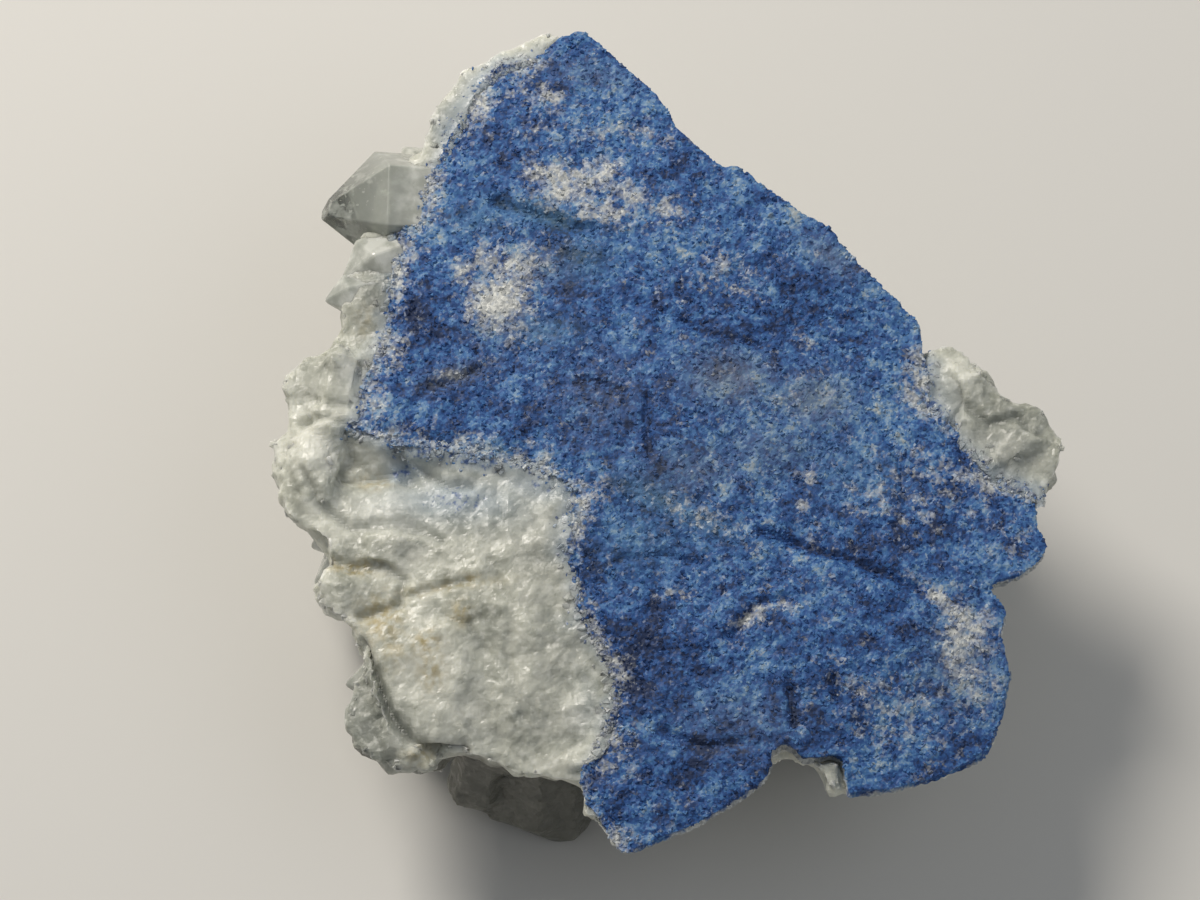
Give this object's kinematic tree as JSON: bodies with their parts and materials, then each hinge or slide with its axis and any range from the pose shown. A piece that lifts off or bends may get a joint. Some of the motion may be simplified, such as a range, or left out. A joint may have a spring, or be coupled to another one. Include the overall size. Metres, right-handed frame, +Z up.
{
  "type": "dumortierite quartz cluster",
  "caption": "Palm-sized mineral specimen: a rough blue dumortierite face, broken in a five-sided outline, on a milky quartz mass whose crystals cover the left side and the underside it lies on.",
  "frame": {"origin": "middle of the footprint's box, on the surface the cluster lies on", "axes": "+Z up from the crystals it lies on, out through the blue face; +Y from the viewer to the highest corner of the blue face, as in the picture"},
  "size_m": [0.1266, 0.1371, 0.0467],
  "materials": {
    "quartz": "milky, vitreous broken quartz with clearer crystal ends",
    "dumortierite": "matt, sugary blue grains"
  },
  "bodies": {
    "root": {"quartz_cluster": "quartz", "dumortierite_plate": "dumortierite"}
  },
  "joints": []
}
